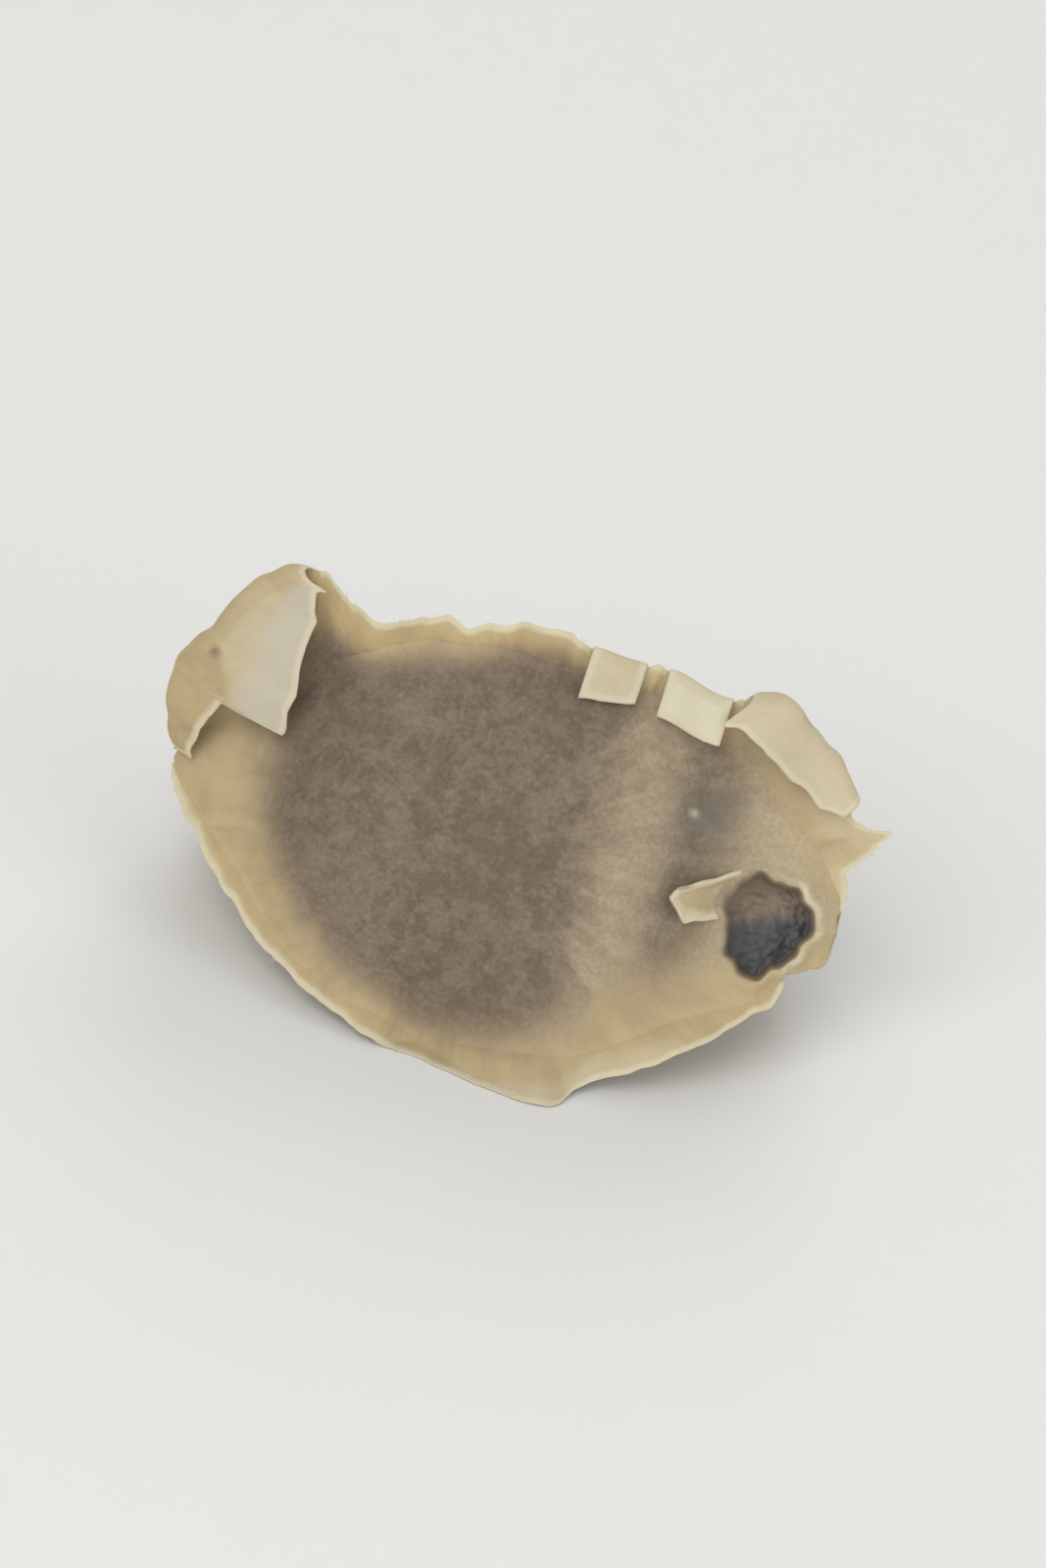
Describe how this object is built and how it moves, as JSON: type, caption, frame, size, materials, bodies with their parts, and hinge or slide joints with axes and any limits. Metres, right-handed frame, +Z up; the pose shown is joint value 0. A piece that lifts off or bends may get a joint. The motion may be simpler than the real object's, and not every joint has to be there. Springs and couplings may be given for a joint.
{
  "type": "moringa seed",
  "caption": "Dry brown winged seed: an angular woody hull with torn, folded papery wings along its ridges, lying on the edges of its lower wings.",
  "frame": {"origin": "on the ground, below the middle of the seed's outline", "axes": "+X along the seed's long axis, towards the end with the torn hollow; +Z up, along the standing wing; -Y towards the face that the picture shows"},
  "size_m": [0.0212, 0.0142, 0.0117],
  "materials": {
    "seed_coat": "matte"
  },
  "bodies": {
    "root": {"moringa_seed": "seed_coat"}
  },
  "joints": []
}
